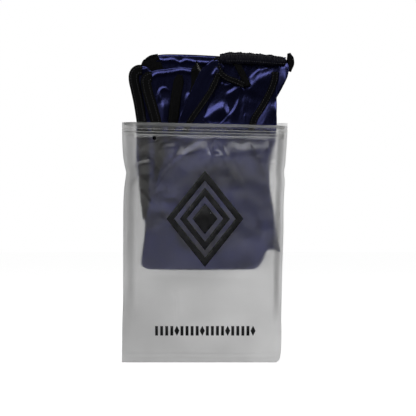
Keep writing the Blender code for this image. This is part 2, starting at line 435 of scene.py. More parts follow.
def punch(obj, centre, radius):
    """Cuts a round hole through a sheet, whose nearest points move on to its rim."""
    bm = bmesh.new()
    bm.from_mesh(obj.data)
    away = {v: math.hypot(v.co.x / MM - centre[0], v.co.z / MM - centre[1]) for v in bm.verts}
    near = [f for f in bm.faces if sum(away[v] for v in f.verts) / 4 < radius]
    rim = {v for f in near for v in f.verts if any(g not in near for g in v.link_faces)}
    bmesh.ops.delete(bm, geom=near, context="FACES")
    for v in rim:
        v.co.x = (centre[0] + (v.co.x / MM - centre[0]) * radius / away[v]) * MM
        v.co.z = (centre[1] + (v.co.z / MM - centre[1]) * radius / away[v]) * MM
    bm.to_mesh(obj.data)
    bm.free()


def film_sheet(name, y_of, rim, mat, body, lip, hole=None):
    """A film from the bottom edge to its rim, which bends along the crease into its lip."""
    cols, rows = 180, 240
    u, v = np.meshgrid(np.linspace(0, 1, cols), np.linspace(0, 1, rows))
    z = v * rim(0)
    z = z + (rim(u) - rim(0)) * ease((v - 0.85) / 0.15)
    left, right = seam_at(LEFT_SEAM, z), seam_at(RIGHT_SEAM, z)
    x = left + (right - left) * u
    obj = grid_object(name, np.stack([x, y_of(x, z), z], axis=-1), mat)
    if hole:
        punch(obj, *hole)
    thicken(obj, FILM, offset=0)
    bend_lip(obj, body, lip)
    return obj


def bend_lip(obj, body, lip):
    """Bends a piece with its lip above the crease, less and less towards the side seams."""
    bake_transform(obj, body, lip, (0, 0, (CREASE - 4) * MM), (0, 0, (CREASE + 5) * MM))
    weights = obj.data.attributes["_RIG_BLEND"].data
    for weight, v in zip(weights, obj.data.vertices):
        weight.value *= 1 - min(abs(v.co.x) / (HALF_WIDTH * MM), 1) ** 3


def front_y(x, z):
    """The front film's y, with its lip curling a little outwards at the rim."""
    curl = 1.2 * ease((z - 243) / 7)
    return drape(x, z, -1, FRONT_DEPTH) - front_wrinkles(x, z) * ease((250 - z) / 14) - curl


def front_rim(u):
    """The height of the front film's rim, from its left to its right corner."""
    heights = [249.4, 250.8, 250.2, 248.7, 246.9, 246.4, 246.8]
    return np.interp(u, [0, 0.012, 0.12, 0.5, 0.94, 0.99, 1], heights)


front_film = film_sheet("front_film_sheet", front_y, front_rim, film_mat, "pouch", "front_lip",
                        hole=(VENT, VENT_RADIUS))
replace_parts(front_film, "front_film", "front_lip_film")

# ----------------------------------------
# The back film: a second sheet of the same frosted plastic, almost flat behind the wrap. It is
# welded to the front film at its sides and bottom, and its lip bends back along the same crease.
BACK_DEPTH = 6.9


def back_y(x, z):
    """The back film's y, with a little slack and its lip curling back at the rim."""
    curl = 0.8 * ease((z - 245) / 6)
    slack = rumple(x, z, 30, 0.8, 2.9) * ease((z - 10) / 20) * ease((84 - np.abs(x)) / 12)
    return drape(x, z, 1, BACK_DEPTH) + slack * ease((250 - z) / 14) + curl


def back_rim(u):
    """The height of the back film's rim, from its left to its right corner."""
    return np.interp(u, [0, 0.5, 1], [251.0, 250.6, 250.0])


back_film = film_sheet("back_film_sheet", back_y, back_rim, film_mat, "pouch", "back_lip")
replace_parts(back_film, "back_film", "back_lip_film")

# ----------------------------------------
# The press-to-close zip: a grooved strip inside the front lip and a ribbed one inside the back
# lip, each extruded with its film. From outside they read as fine raised lines.
zip_mat = frosted("zip_plastic", (0.86, 0.86, 0.85), 0.80, 0.25, 0.9)


ZIP_ENDS = (-82, 85)


def zip_strip(name, y_of, side, rails, lip, node):
    """Rails along the lip. Each is (drop from the rim, height, depth, gap behind the film).

    A gap below zero puts a rail on the film's outside. Where the films meet at the sides the
    rails are pressed flat.
    """
    x = np.linspace(*ZIP_ENDS, 110)
    across = (x - LEFT_SEAM[-1][0]) / (RIGHT_SEAM[-1][0] - LEFT_SEAM[-1][0])
    room = np.clip((back_y(x, 0 * x + 240) - front_y(x, 0 * x + 240)) / 8, 0.08, 1)
    whole = bmesh.new()
    for drop, height, depth, gap in rails:
        out = -1 if gap < 0 else 1
        rows = []
        for turn in np.linspace(0, 2 * math.pi, 15)[:-1]:
            z = front_rim(across) - drop - height / 2 * (1 - math.cos(turn))
            reach = (abs(gap) + depth / 2 * (1 - math.sin(turn))) * room
            rows.append(np.stack([x, y_of(x, z) - side * out * reach, z], axis=1))
        rail = grid_object(name, np.stack(rows + rows[:1]), zip_mat, closed=True)
        whole.from_mesh(rail.data)
        bpy.data.objects.remove(rail)
    bmesh.ops.holes_fill(whole, edges=[e for e in whole.edges if e.is_boundary], sides=0)
    bmesh.ops.recalc_face_normals(whole, faces=whole.faces)
    obj = made(name, whole, zip_mat)
    bend_lip(obj, "pouch", lip)
    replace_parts(obj, node)


groove_rails = [(0.2, 2.8, 0.6, 0.2), (6.2, 0.8, 0.35, -0.09), (9.2, 0.8, 0.4, -0.09),
                (9.0, 1.2, 0.8, 0.3), (12.2, 1.2, 0.6, -0.09)]
rib_rails = [(0.4, 2.4, 0.4, 0.2), (9.6, 0.9, 1.2, 0.3)]
zip_strip("zip_groove_strip", front_y, -1, groove_rails, "front_lip", "groove_track")
zip_strip("zip_rib_strip", back_y, 1, rib_rails, "back_lip", "rib_track")

# ----------------------------------------
# The print on the front film: a plain badge of nested lozenges, and a row of bars and lozenges
# near the bottom, in one pass of black ink.
BADGE = (2, 150)
INK = 0.05
PRINT_CELL = 3.0
ROW_LEFT, ROW_STEP, ROW_MIDDLE = -48.5, 5.3, 33
BAR = (1.5, 5)
SPACER = (2.6, 5.4)


def ink():
    """Slightly worn matt black ink, thin enough to show the film's grain."""
    mat, tree = node_tree("black_ink")
    solid = add(tree, "TexCoord").outputs["Object"]
    wear = grain_of(tree, solid, 160.0, 4.0)
    tint = ramp(tree, wear, [(0.35, (0.006, 0.006, 0.007)), (0.75, (0.018, 0.018, 0.020))])
    raised = bump(tree, 0.1, 0.0002, wear)
    rough = math_of(tree, "MULTIPLY_ADD", wear, 0.2, 0.45)
    return finish(mat, Base_Color=tint, Roughness=rough, Normal=raised)


def printed(name, shapes, mat):
    """A thin print on the front film. Each shape is a convex outline of (x, z) points."""
    whole = bmesh.new()
    for outline in shapes:
        p = np.array(outline, float)
        low, high = p.min(axis=0) - 0.5, p.max(axis=0) + 0.5
        middle = p.mean(axis=0)
        bm = bmesh.new()
        cells = [max(int(s / PRINT_CELL), 1) for s in high - low]
        bmesh.ops.create_grid(bm, x_segments=cells[0], y_segments=cells[1], size=0.5)
        for v in bm.verts:
            v.co = Vector(((low[0] + high[0]) / 2 + v.co.x * (high[0] - low[0]), 0,
                           (low[1] + high[1]) / 2 + v.co.y * (high[1] - low[1])))
        for a, b in zip(p, np.roll(p, -1, axis=0)):
            out = Vector((b[1] - a[1], 0, a[0] - b[0]))
            if out.dot(Vector((a[0] - middle[0], 0, a[1] - middle[1]))) < 0:
                out = -out
            geom = bm.verts[:] + bm.edges[:] + bm.faces[:]
            bmesh.ops.bisect_plane(bm, geom=geom, plane_co=(a[0], 0, a[1]), plane_no=out,
                                   clear_outer=True)
        part = bpy.data.meshes.new("part")
        bm.to_mesh(part)
        bm.free()
        whole.from_mesh(part)
        bpy.data.meshes.remove(part)
    bmesh.ops.remove_doubles(whole, verts=whole.verts, dist=0.01)
    x, z = (np.array([v.co[i] for v in whole.verts]) for i in (0, 2))
    for v, y in zip(whole.verts, front_y(x, z) - FILM / 2 - 0.08):
        v.co = Vector((v.co.x, y, v.co.z)) * MM
    for face in whole.faces:
        face.normal_update()
        if face.normal.y > 0:
            face.normal_flip()
        face.smooth = True
    obj = made(name, whole, mat)
    thicken(obj, INK, offset=1)
    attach(obj, "pouch")


def lozenge(middle, half):
    """A solid lozenge's outline. half is its (x, z) half size."""
    (x, z), (w, h) = middle, half
    return [(x + w, z), (x, z + h), (x - w, z), (x, z - h)]


def lozenge_ring(middle, half, stroke):
    """The four sides of a lozenge outline, as convex outlines. half is its (x, z) half size."""
    (x, z), (w, h) = middle, half
    inner = 1 - stroke / w
    corners = [(w, 0), (0, h), (-w, 0), (0, -h)]
    shapes = []
    for a, b in zip(corners, corners[1:] + corners[:1]):
        ring = [a, b, (b[0] * inner, b[1] * inner), (a[0] * inner, a[1] * inner)]
        shapes.append([(x + p, z + q) for p, q in ring])
    return shapes


black_ink = ink()
badge = lozenge_ring(BADGE, (40, 50), 8) + lozenge_ring(BADGE, (26, 32.5), 7)
badge.append(lozenge(BADGE, (13, 16)))
printed("printed_badge", badge, black_ink)

row = []
for k in range(20):
    x = ROW_LEFT + k * ROW_STEP
    if k % 5 == 4:
        row.append(lozenge((x, ROW_MIDDLE), SPACER))
    else:
        row.append([(x + p * BAR[0], ROW_MIDDLE + q * BAR[1])
                    for p, q in ((-1, -1), (1, -1), (1, 1), (-1, 1))])
printed("printed_bar_row", row, black_ink)

# ----------------------------------------
# The rear fold of the wrap: navy polyester satin, folded over at the top and tucked into the
# pouch. It is one long sheet that runs up the front, over the fold and down the back.
SATIN = 0.35

# How far the wrap can be pushed in, how clear of the films it stays, the cells that this is worked
# out in, and the heights above which its front and back hang free.
PUSHED_IN = 20
CLEAR = 0.6
CELL = 1.25
FRONT_FREE = 252
BACK_FREE = 278


def patch(left, right, top, bottom, u, v):
    """Points of a sheet whose four edges are the given curves, at shares u across and v up."""
    fine = 160
    curves = [smooth_path(edge, fine) for edge in (left, right, top, bottom)]
    steps = np.linspace(0, 1, fine)

    def at(curve, t):
        return np.stack([np.interp(t, steps, curve[:, i]) for i in (0, 1)], axis=-1)

    le, ri, to, bo = (at(c, t) for c, t in zip(curves, (v, v, u, u)))
    u, v = u[..., None], v[..., None]
    corners = [curves[3][0], curves[3][-1], curves[2][0], curves[2][-1]]
    flat = (1 - u) * (1 - v) * corners[0] + u * (1 - v) * corners[1]
    flat += (1 - u) * v * corners[2] + u * v * corners[3]
    return (1 - u) * le + u * ri + v * to + (1 - v) * bo - flat


def settle(proud, z, room, mouth=250):
    """Keeps a relief within the room there is inside the pouch, and frees it above the mouth."""
    cap = room + (13 - room) * ease((z - mouth) / 16)
    return cap * np.tanh(proud / cap)


def room_between_films():
    """The front and back y that the wrap stays between, on a grid of x and z in cells.

    They hold at every height that the wrap is pushed down through, and not only where it rests.
    """
    xs, zs = np.arange(-92, 94, CELL), np.arange(50, 262, CELL)
    x, z = np.meshgrid(xs, zs)
    front, back = front_y(x, z), back_y(x, z)
    reach = round(PUSHED_IN / CELL)
    passed = [slice(reach - k, len(zs) - k) for k in range(reach + 1)]
    front = np.max([front[rows] for rows in passed], axis=0) + CLEAR
    back = np.min([back[rows] for rows in passed], axis=0) - CLEAR
    return xs[0], zs[reach], front, back


ROOM = room_between_films()


def keep_between_films(x, y, z):
    """y moved to stay clear of both films, at and below the mouth."""
    x_low, z_low, front, back = ROOM
    i = np.clip((z - z_low) / CELL, 0, front.shape[0] - 1.001)
    j = np.clip((x - x_low) / CELL, 0, front.shape[1] - 1.001)
    below, beside = i.astype(int), j.astype(int)
    up, on = i - below, j - beside

    def at(limit):
        low = limit[below, beside] * (1 - on) + limit[below, beside + 1] * on
        high = limit[below + 1, beside] * (1 - on) + limit[below + 1, beside + 1] * on
        return low * (1 - up) + high * up

    y = y + (np.maximum(y, at(front)) - y) * ease((FRONT_FREE - z) / 6)
    return y + (np.minimum(y, at(back)) - y) * ease((BACK_FREE - z) / 6)


def back_slack(x, z):
    """How far the back of a fold hangs out of flat."""
    return rumple(x, z, 34, 1.8, 3.7) + streaks(x, z, 74, 40, 9, 0.9, 6.1)


def folded_sheet(name, edges, depths, relief, mat, cols=150, rows=(150, 10, 70), slack=0.3,
                 fall=0.0):
    """A sheet that is folded over its top edge, as an object.

    edges are its left, right, top and bottom outlines, depths its front and back y, and relief a
    function of (x, z) that says how far the front stands proud. rows are the counts of points up
    the front, over the fold and down the back. slack is the share of the back's slack that it
    has, and fall the height, from 0 to 1, that the back reaches down to.
    """
    front, back = depths
    up, over, down = rows
    v = np.concatenate([np.linspace(0, 1, up), np.ones(over), np.linspace(1, fall, down)])
    turn = np.concatenate([np.zeros(up), np.linspace(0, 1, over + 2)[1:-1], np.ones(down)])
    u, v = np.meshgrid(np.linspace(0, 1, cols), v)
    turn = np.repeat(turn[:, None], cols, axis=1)
    flat = patch(*edges, u, v)
    x, z = flat[..., 0], flat[..., 1]
    half = (back - front) / 2
    proud = relief(x, z)
    y = (front + back) / 2 - half * np.cos(math.pi * turn) - proud * (1 - ease(turn))
    y += slack * back_slack(x, z) * ease(turn)
    y = keep_between_films(x, y, z)
    near_fold = np.where(turn > 0, 1, ease(np.maximum(v - 0.9, 0) / 0.1))
    z = z - half * (1 - np.sin(math.pi * turn)) * near_fold
    return grid_object(name, np.stack([x, y, z], axis=-1), mat)


def satin():
    """Polyester satin: a dark dyed ground whose floating threads give a broad blue sheen."""
    mat, tree = node_tree("navy_satin")
    place = add(tree, "TexCoord")
    cloth, solid = place.outputs["UV"], place.outputs["Object"]
    cloud = grain_of(tree, solid, 55.0, 3.0)
    tint = ramp(tree, cloud, [(0.3, (0.046, 0.051, 0.160)), (0.7, (0.062, 0.068, 0.205))])
    threads = add(tree, "TexWave", Vector=cloth, Scale=420.0, Distortion=0.6, Detail=1.0)
    threads.bands_direction = "X"
    slubs = grain_of(tree, cloth, 900.0, 2.0)
    ripple = grain_of(tree, solid, 230.0, 2.0, Roughness=0.6)
    weave = bump(tree, 0.10, 0.0002, threads.outputs["Fac"])
    weave = bump(tree, 0.12, 0.0003, slubs, Normal=weave)
    soft = bump(tree, 0.12, 0.0012, ripple, Normal=weave)
    gloss = math_of(tree, "MULTIPLY_ADD", slubs, 0.12, 0.23)
    return finish(mat, Base_Color=tint, Roughness=gloss, Normal=soft, Metallic=0.97)


navy = satin()


def as_satin(obj):
    """Makes a sheet a part of the wrap."""
    thicken(obj, SATIN)
    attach(obj, "wrap")
    return obj


def inner_fold(name, edges, depths, slack=0.3):
    """The cloth folded up inside a fold, as one plain sheet that is a little smaller all round."""
    across = np.mean([x for edge in edges[:2] for x, z in edge])
    inset = [[(across + (x - across) * 0.965, 100 + (z - 100) * 0.992) for x, z in edge]
             for edge in edges]
    obj = folded_sheet(name, inset, depths, lambda x, z: 0 * x, navy, cols=40, rows=(60, 6, 50),
                       slack=slack)
    as_satin(obj)


def rear_relief(x, z):
    """A long thin roll under the top fold, and slack below it."""
    roll = [(-51, 317), (-45, 318.2), (-39.5, 317.2), (-32, 318.6), (-24, 315), (-18, 317.8),
            (-8, 315.8), (9.4, 314.7), (40, 314)]
    out = crease(x, z, roll, 1.3, 1.2, 2.4, (0.04, 0.04))
    out += crease(x, z, [(-24, 314), (-24, 304), (-26, 290)], 0.9, 2.5, 2.5)
    out += crease(x, z, [(60, 270), (70, 225), (70, 150)], 1.4, 6, 6)
    out += streaks(x, z, 86, 22, 4.0, 0.22, 4.8)
    return settle(out + rumple(x, z, 26, 0.7, 1.3), z, 0.4)


rear_edges = (
    [(-62, 103), (-58, 142), (-66, 193), (-68, 250), (-67, 290), (-62, 315)],
    [(56, 102), (66, 122), (70, 150), (68, 190), (75, 239), (76.6, 262), (74, 316)],
    [(-62, 315), (-47, 321.3), (-24, 322), (12.5, 320.4), (74, 316)],
    [(-62, 103), (-48, 100), (0, 99.5), (45, 100), (56, 102)],
)
rear = folded_sheet("rear_fold", rear_edges, (0.4, 5.2), rear_relief, navy, slack=1.0)
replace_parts(as_satin(rear), "back_panel")
inner_fold("rear_fold_inner", rear_edges, (1.9, 3.8), slack=1.0)

# ----------------------------------------
# The middle fold of the same sheet, which reaches furthest to the left and whose lower right
# corner is a thin flap.


def middle_relief(x, z):
    """A thin roll at the top left corner and soft rises at both sides."""
    out = crease(x, z, [(-69, 306), (-63, 307.2), (-57, 307.8)], 0.8, 0.9, 1.6)
    out += crease(x, z, [(-66, 245), (-67.5, 254), (-68.5, 264)], 1.0, 2.0, 3)
    out += lit(x, z, [(-2, 304.8), (4, 305.6), (8, 306)], 1.2)
    out += crease(x, z, [(76, 262), (75, 250), (72, 225)], 0.8, 3, 3)
    return settle(out + rumple(x, z, 24, 0.5, 5.1), z, 0.5)


middle_edges = (
    [(-65, 104), (-63, 119), (-60.7, 142), (-63.6, 174), (-67.7, 193), (-70, 211), (-69.5, 238),
     (-69.6, 255), (-71, 270), (-74, 284), (-75.4, 298), (-72, 307)],
    [(80.7, 117), (77.5, 131), (74.6, 153), (69.8, 184), (69.8, 205), (73.3, 219), (76.2, 238),
     (76.6, 262), (70, 305)],
    [(-72, 307), (-66, 310), (-58, 309), (-51, 304.5), (0, 304), (70, 305)],
    [(-65, 104), (-58, 100.5), (-40, 99), (0, 98.6), (48, 99), (57, 101), (63, 109), (67, 118),
     (73, 119), (80.7, 117)],
)
middle = folded_sheet("middle_fold", middle_edges, (-3.4, 0.0), middle_relief, navy)
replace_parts(as_satin(middle), "middle_panel")
inner_fold("middle_fold_inner", middle_edges, (-2.3, -1.1))

# ----------------------------------------
# The front left fold, whose top edge catches the light, with one deep pleat between its bound
# edge and the strap.


def front_relief(x, z):
    """A rolled top edge, an arched pleat between edge and strap, and a pinch right of the strap."""
    roll = [(-54.5, 296), (-52, 300), (-47.8, 302.6), (-40, 303.2), (-31, 304.6), (-22, 306),
            (-13, 304.6), (-8, 305)]
    out = crease(x, z, roll, 1.1, 1.1, 2.4, (0.1, 0.04))
    arch = [(-46.8, 270), (-46.4, 276), (-45.8, 281), (-43.8, 284.4), (-40.5, 285.8), (-36.5, 284),
            (-34, 281)]
    out += crease(x, z, arch, 1.4, 1.2, 1.9, (0.3, 0.3))
    out += lit(x, z, [(-43.4, 244), (-42.6, 262), (-41, 280)], 4.6, 0.52, (0.02, 0.35), 1.5)
    out += streaks(x, z, 84, 26, 2.6, 0.16, 7.7)
    out += lit(x, z, [(-19, 268), (-17, 276), (-15.2, 284)], 1.9, 0.7, (0.2, 0.35))
    out += lit(x, z, [(-23, 251), (-21.5, 258), (-18.5, 264)], 2.4, 0.6, (0.3, 0.2))
    out -= swell(x, z, (-16, 269.5), (2.6, 3.2), 1.8)
    return settle(out + rumple(x, z, 17, 0.35, 2.2), z, 3.4)


front_edges = (
    [(-57, 101), (-56, 180), (-53, 250), (-58, 280), (-60, 298)],
    [(-3, 101), (-3, 200), (-2, 306)],
    [(-60, 298), (-52, 304.5), (-40, 306.5), (-24, 308.3), (-12, 307.5), (-2, 306)],
    [(-57, 101), (-30, 99), (-3, 101)],
)
front = folded_sheet("front_fold", front_edges, (-7.4, -4.2), front_relief, navy, cols=110)
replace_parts(as_satin(front), "front_panel")
inner_fold("front_fold_inner", front_edges, (-6.3, -5.3))

# ----------------------------------------
# The crown: the broad dark diagonal fold of the satin, which runs from the top right down inside
# the pouch and spreads over the other layers there.


def crown_relief(x, z):
    """Almost flat above the mouth; below it, long sharp folds that show through the film."""
    out = crease(x, z, [(-34, 235), (-30, 250), (-12, 292), (6, 324)], 2.4, 2, 18, (0.1, 0.02))
    out += lit(x, z, [(8, 298), (11.5, 304), (14.5, 310)], 1.8, 0.6, (0.3, 0.3))
    out += streaks(x, z, 66, 34, 3.4, 0.2, 2.9)
    long_fold = [(-54, 167), (-50, 180), (-40.6, 198.6), (-28, 211), (-13.5, 221.5), (5, 236),
                 (19, 250)]
    out += lit_all(
        x, z,
        ([(-54, 168), (-44, 203), (-31, 240)], 2.6, 0.6, (0.1, 0.1)),
        (long_fold, 4.6, 0.60, (0.06, 0.02)),
        ([(-50, 163), (-46, 172), (-38, 182)], 1.8, 0.6),
        ([(58, 108), (54, 140), (49, 200)], 2.4, 0.5),
    )
    out += crease(x, z, [(48, 232), (60, 190), (64, 150), (54, 112)], 1.6, 3, 8)
    out -= swell(x, z, (45, 112), (3, 11), 1.5)
    out += swell(x, z, (26, 176), (14, 24), 2.2)
    out += crease(x, z, [(-58, 168), (-30, 166), (-12, 160)], 1.0, 3, 7)
    out += crease(x, z, [(-60, 130), (-40, 150), (-20, 120), (15, 108)], 1.2, 6, 8)
    return settle(out + rumple(x, z, 26, 1.1, 8.4) * ease((262 - z) / 30), z, 3.2)


crown_edges = (
    [(-60, 100), (-63.5, 106), (-58.5, 145), (-55, 170), (-26, 250), (-6, 297), (2, 309),
     (12, 315)],
    [(54, 99.5), (64, 118), (71, 145), (67, 184), (67, 205), (69, 236), (60, 241), (30, 243),
     (8, 246), (0, 256), (10, 282), (21.5, 309)],
    [(12, 315), (16, 315.5), (21.5, 309)],
    [(-60, 100), (-50, 98.6), (0, 98.2), (46, 98.6), (54, 99.5)],
)
crown = folded_sheet("crown", crown_edges, (-12.4, -9.4), crown_relief, navy, rows=(190, 10, 60))
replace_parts(as_satin(crown), "crown_panel")
inner_fold("crown_inner", crown_edges, (-11.3, -10.4))

# ----------------------------------------
# The right-hand panel of the same satin. It is gathered at its top edge by the casing and swells
# out of the mouth in long folds that sweep down to the left.


def side_relief(x, z):
    """Long folds that sweep down to the left from the top right corner, and one leaf between."""
    out = lit_all(
        x, z,
        ([(43, 280), (49, 290), (59, 299), (70, 304.5), (82, 307)], 6.0, 0.52, (0.2, 0.5), 1.9),
        ([(47, 294), (56, 305), (66, 309), (73, 310)], 1.4, 0.5, (0.2, 0.3)),
        ([(40, 246), (41, 266), (45, 284)], 3.8, 0.40, (0.1, 0.3)),
        ([(-8, 249), (2, 258), (12, 265), (25, 270)], 6.6, 0.54, (0.4, 0.2), 1.6),
        ([(-10, 247), (-3, 254), (5, 260)], 1.3, 0.5, (0.05, 0.5)),
    )
    inward = ease((30 - x) / 12)
    out += streaks(x, z, 36, 26, 2.3, 0.17, 5.5) * inward
    out += streaks(x, z, 62, 30, 2.8, 0.20, 8.3) * (1 - inward)
    out += lit_all(
        x, z,
        ([(14, 245), (24, 255), (32, 264), (36, 273), (38, 282)], 1.8, 0.75, (0.02, 0.3)),
        ([(21, 277), (30, 284), (40, 290)], 2.6, 0.6, (0.4, 0.1)),
        ([(18, 292), (22, 290), (27, 290.5), (30, 294)], 1.5, 0.7, (0.1, 0.15)),
        ([(12.5, 289), (12, 296), (14.5, 304)], 2.0, 0.55),
        ([(43.5, 246), (43, 256), (44.5, 262)], 1.3, 0.6, (0.05, 0.3)),
        ([(58, 246), (65, 261), (74, 275)], 6.0, 0.34, (0.05, 0.3), 2),
    )
    out += crease(x, z, [(78, 250), (78, 262), (77.5, 274)], 1.6, 2.2, 1.5)
    out += crease(x, z, [(62, 296), (55, 276), (50, 256)], -0.8, 5, 6)
    return settle(out + rumple(x, z, 14, 0.35, 6.6), z, 2.6, mouth=238)


side_edges = (
    [(-2.4, 101), (-2.4, 200), (-2.4, 290), (2, 309)],
    [(55, 101), (66, 120), (72, 148), (68.6, 184), (69, 205), (75, 239), (76.6, 262), (77, 290),
     (80, 312)],
    [(2, 309), (12, 317), (40, 317), (80, 312)],
    [(-2.4, 101), (30, 99), (55, 101)],
)
side = folded_sheet("side_fold", side_edges, (-8.7, -4.2), side_relief, navy, rows=(260, 10, 60))
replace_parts(as_satin(side), "side_panel")
inner_fold("side_fold_inner", side_edges, (-7.4, -5.5))

# ----------------------------------------
# Bindings and straps: black ribbed polyester tape, 6 to 11 mm wide as it lies, sewn over the cut
# edges of the satin with two rows of stitches. Each lies on the fold that it binds.
TAPE = 9.5
TAPE_THICKNESS = 0.6


def ribbed_tape():
    """Matt black tape with fine ribs across it, a little paler where the ribs and grain stand raised."""
    mat, tree = node_tree("black_tape")
    cloth = add(tree, "TexCoord").outputs["UV"]
    ribs = add(tree, "TexWave", Vector=cloth, Scale=260.0, Distortion=0.8, Detail=2.0)
    ribs.bands_direction = "Y"
    grain = grain_of(tree, cloth, 700.0, 3.0)
    mixed = math_of(tree, "MULTIPLY", ribs.outputs["Fac"], grain)
    tint = ramp(tree, mixed, [(0.1, (0.0008, 0.0008, 0.001)), (0.6, (0.0050, 0.0050, 0.0058))])
    raised = bump(tree, 0.6, 0.0003, mixed)
    return finish(mat, Base_Color=tint, Roughness=0.85, Normal=raised,
                  Specular_IOR_Level=0.15)


def thread(name, colour):
    """Spun sewing thread."""
    mat, tree = node_tree(name)
    solid = add(tree, "TexCoord").outputs["Object"]
    twist = grain_of(tree, solid, 1500.0, 2.0)
    tint = ramp(tree, twist, [(0.3, tuple(c * 0.6 for c in colour)), (0.7, colour)])
    raised = bump(tree, 0.4, 0.0002, twist)
    return finish(mat, Base_Color=tint, Roughness=0.55, Normal=raised)


tape_cloth = ribbed_tape()
black_thread = thread("black_thread", (0.055, 0.055, 0.065))
loose_thread = thread("loose_thread", (0.45, 0.44, 0.42))


def on_surface(route, reach, under, lift, side=-1):
    """A route's points moved sideways by reach, lying on a surface y(x, z)."""
    along = np.gradient(route, axis=0)
    across = np.stack([along[:, 1], -along[:, 0]], axis=1)
    across /= np.linalg.norm(across, axis=1)[:, None]
    x, z = (route + across * np.reshape(reach, (-1, 1))).T
    return np.stack([x, under(x, z) + side * lift, z], axis=1)


def tape(name, route, under, node=None, width=TAPE, lift=0.7, dome=0.5, taper=(0, 0), blunt=0.3,
         side=-1):
    """A strip of tape along a route of (x, z) points, lying on a surface y(x, z).

    side is -1 on a front surface and 1 on a back one. taper gives the shares of its length over
    which its two ends narrow, to blunt times its width. node is the solid that it stands for.
    """
    length = np.linalg.norm(np.diff(np.array(route, float), axis=0), axis=1).sum()
    count = max(int(length / 1.2), 12)
    path = smooth_path(route, count)
    widths = np.full(count, width, float)
    t = np.linspace(0, 1, count)
    for share, end in zip(taper, (t, 1 - t)):
        if share:
            widths *= blunt + (1 - blunt) * ease(end / share)
    rows = []
    for share in np.linspace(-1, 1, 9):
        arch = dome * (1 - share**2) + 0.25 * abs(share) ** 6
        rows.append(on_surface(path, share * widths / 2, under, lift + arch, side))
    obj = grid_object(name, np.stack(rows[::-side], axis=1), tape_cloth)
    thicken(obj, TAPE_THICKNESS)
    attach(obj, "wrap")
    if node:
        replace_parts(obj, node)


def stitches(name, rows, mat, pitch=2.6, length=1.7, thickness=0.32):
    """Rows of stitches, each a short bar of thread along its row. A row is a list of points."""
    bm = bmesh.new()
    for row in rows:
        run = np.linalg.norm(np.diff(row, axis=0), axis=1).sum()
        row = smooth_path(row, max(int(run / pitch), 2))
        for a, b in zip(row, row[1:]):
            along = Vector(b - a).normalized()
            turn = along.to_track_quat("X", "Z").to_matrix().to_4x4()
            size = Matrix.Diagonal((length / 2, thickness, thickness, 1))
            place = Matrix.Translation(Vector((a + b) / 2))
            bmesh.ops.create_uvsphere(
                bm, u_segments=6, v_segments=4, radius=1, matrix=place @ turn @ size
            )
    bmesh.ops.scale(bm, vec=(MM, MM, MM), verts=bm.verts)
    for face in bm.faces:
        face.smooth = True
    obj = made(name, bm, mat)
    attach(obj, "wrap")


def sewn(name, route, under, width, lift=1.2, edge=0.62):
    """The two rows of stitches along a strip of tape."""
    path = smooth_path(route, 40)
    rows = [on_surface(path, share * width / 2, under, lift) for share in (-edge, edge)]
    stitches(name, rows, black_thread)


def on_rear_back(x, z):
    """The y of the rear fold's back, as a tape lies on it."""
    return np.minimum(5.2 + back_slack(x, z), 5.3 + 9 * ease((z - 272) / 8))


def on_fold(front, relief):
    """The y of a fold's front, as a function of (x, z), for what is sewn to it."""
    return lambda x, z: keep_between_films(x, front - relief(x, z), z)


on_middle = on_fold(-3.6, middle_relief)
on_front = on_fold(-7.4, front_relief)
on_crown = on_fold(-12.4, crown_relief)
on_side = on_fold(-8.7, side_relief)

rear_end = folded_sheet(
    "rear_fold_binding",
    (
        [(-66.5, 296), (-66, 306), (-63.5, 314), (-60, 318)],
        [(-40, 304), (-43.5, 312), (-47.4, 322.6)],
        [(-60, 318), (-55, 321), (-47.4, 322.6)],
        [(-66.5, 296), (-40, 304)],
    ),
    (-0.2, 5.8),
    rear_relief,
    tape_cloth,
    cols=40,
    rows=(40, 8, 12),
    fall=0.7,
)
thicken(rear_end, 0.4)
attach(rear_end, "wrap")
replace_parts(rear_end, "back_panel_binding")

back_route = [(-50, 315), (-54.5, 305), (-58.5, 292), (-61, 270), (-61.5, 250), (-61, 225)]
tape("rear_fold_back_binding", back_route, on_rear_back, lift=0.35, dome=0.35, side=1)

left_edge = [(-63.5, 305.4), (-68.5, 305), (-72, 301), (-72.2, 294), (-70, 284), (-67, 270),
             (-64.6, 255), (-62.6, 240), (-61.5, 215), (-61.5, 185), (-57.5, 150)]
tape("middle_fold_binding", left_edge, on_middle, "middle_panel_binding", width=10.5)
sewn("middle_fold_stitches", left_edge, on_middle, TAPE)

front_edge = [(-53.5, 298), (-57.5, 297.4), (-59.6, 293), (-57.6, 282), (-53.6, 268), (-48.9, 250),
              (-46, 225), (-45, 190)]
tape("front_fold_binding", front_edge, on_front, "front_panel_binding", width=11)
sewn("front_fold_stitches", front_edge, on_front, TAPE)

strap_route = [(-24, 300), (-25.5, 292), (-28.5, 275), (-31, 250), (-31.5, 230)]
tape("tie_strap_tape", strap_route, on_front, "tie_strap", width=10.5, lift=1.4, taper=(0.1, 0),
     blunt=0.55)
cut_route = [(-6.6, 314.5), (-6, 306), (-8.6, 294), (-13.5, 281)]
tape("tie_strap_cut_end", cut_route, on_front, "tie_strap_end", width=12.5, lift=2.2,
     taper=(0.3, 0.75), blunt=0.12)


def frayed_end():
    """A few loose pale threads at the cut end of the strap."""
    rows = []
    for k in range(5):
        x, z = -6.2 + 0.9 * k, 312 - 1.6 * k
        drop = [(x, z), (x + 0.8, z - 3.5), (x + 1.2 + 0.3 * k, z - 7)]
        rows.append(on_surface(smooth_path(drop, 8), 0, on_front, 3.3 + 0.15 * k))
    stitches("frayed_threads", rows, loose_thread, pitch=1.6, length=1.9, thickness=0.16)


frayed_end()

seam_route = [(16.6, 301), (9.4, 285), (0, 270.4), (-12.5, 252.7), (-20, 237)]
tape("crown_seam_tape", seam_route, on_crown, "crown_seam_binding", width=6.2, lift=0.3)
sewn("crown_seam_stitches", seam_route, on_crown, 6.2, lift=0.9)

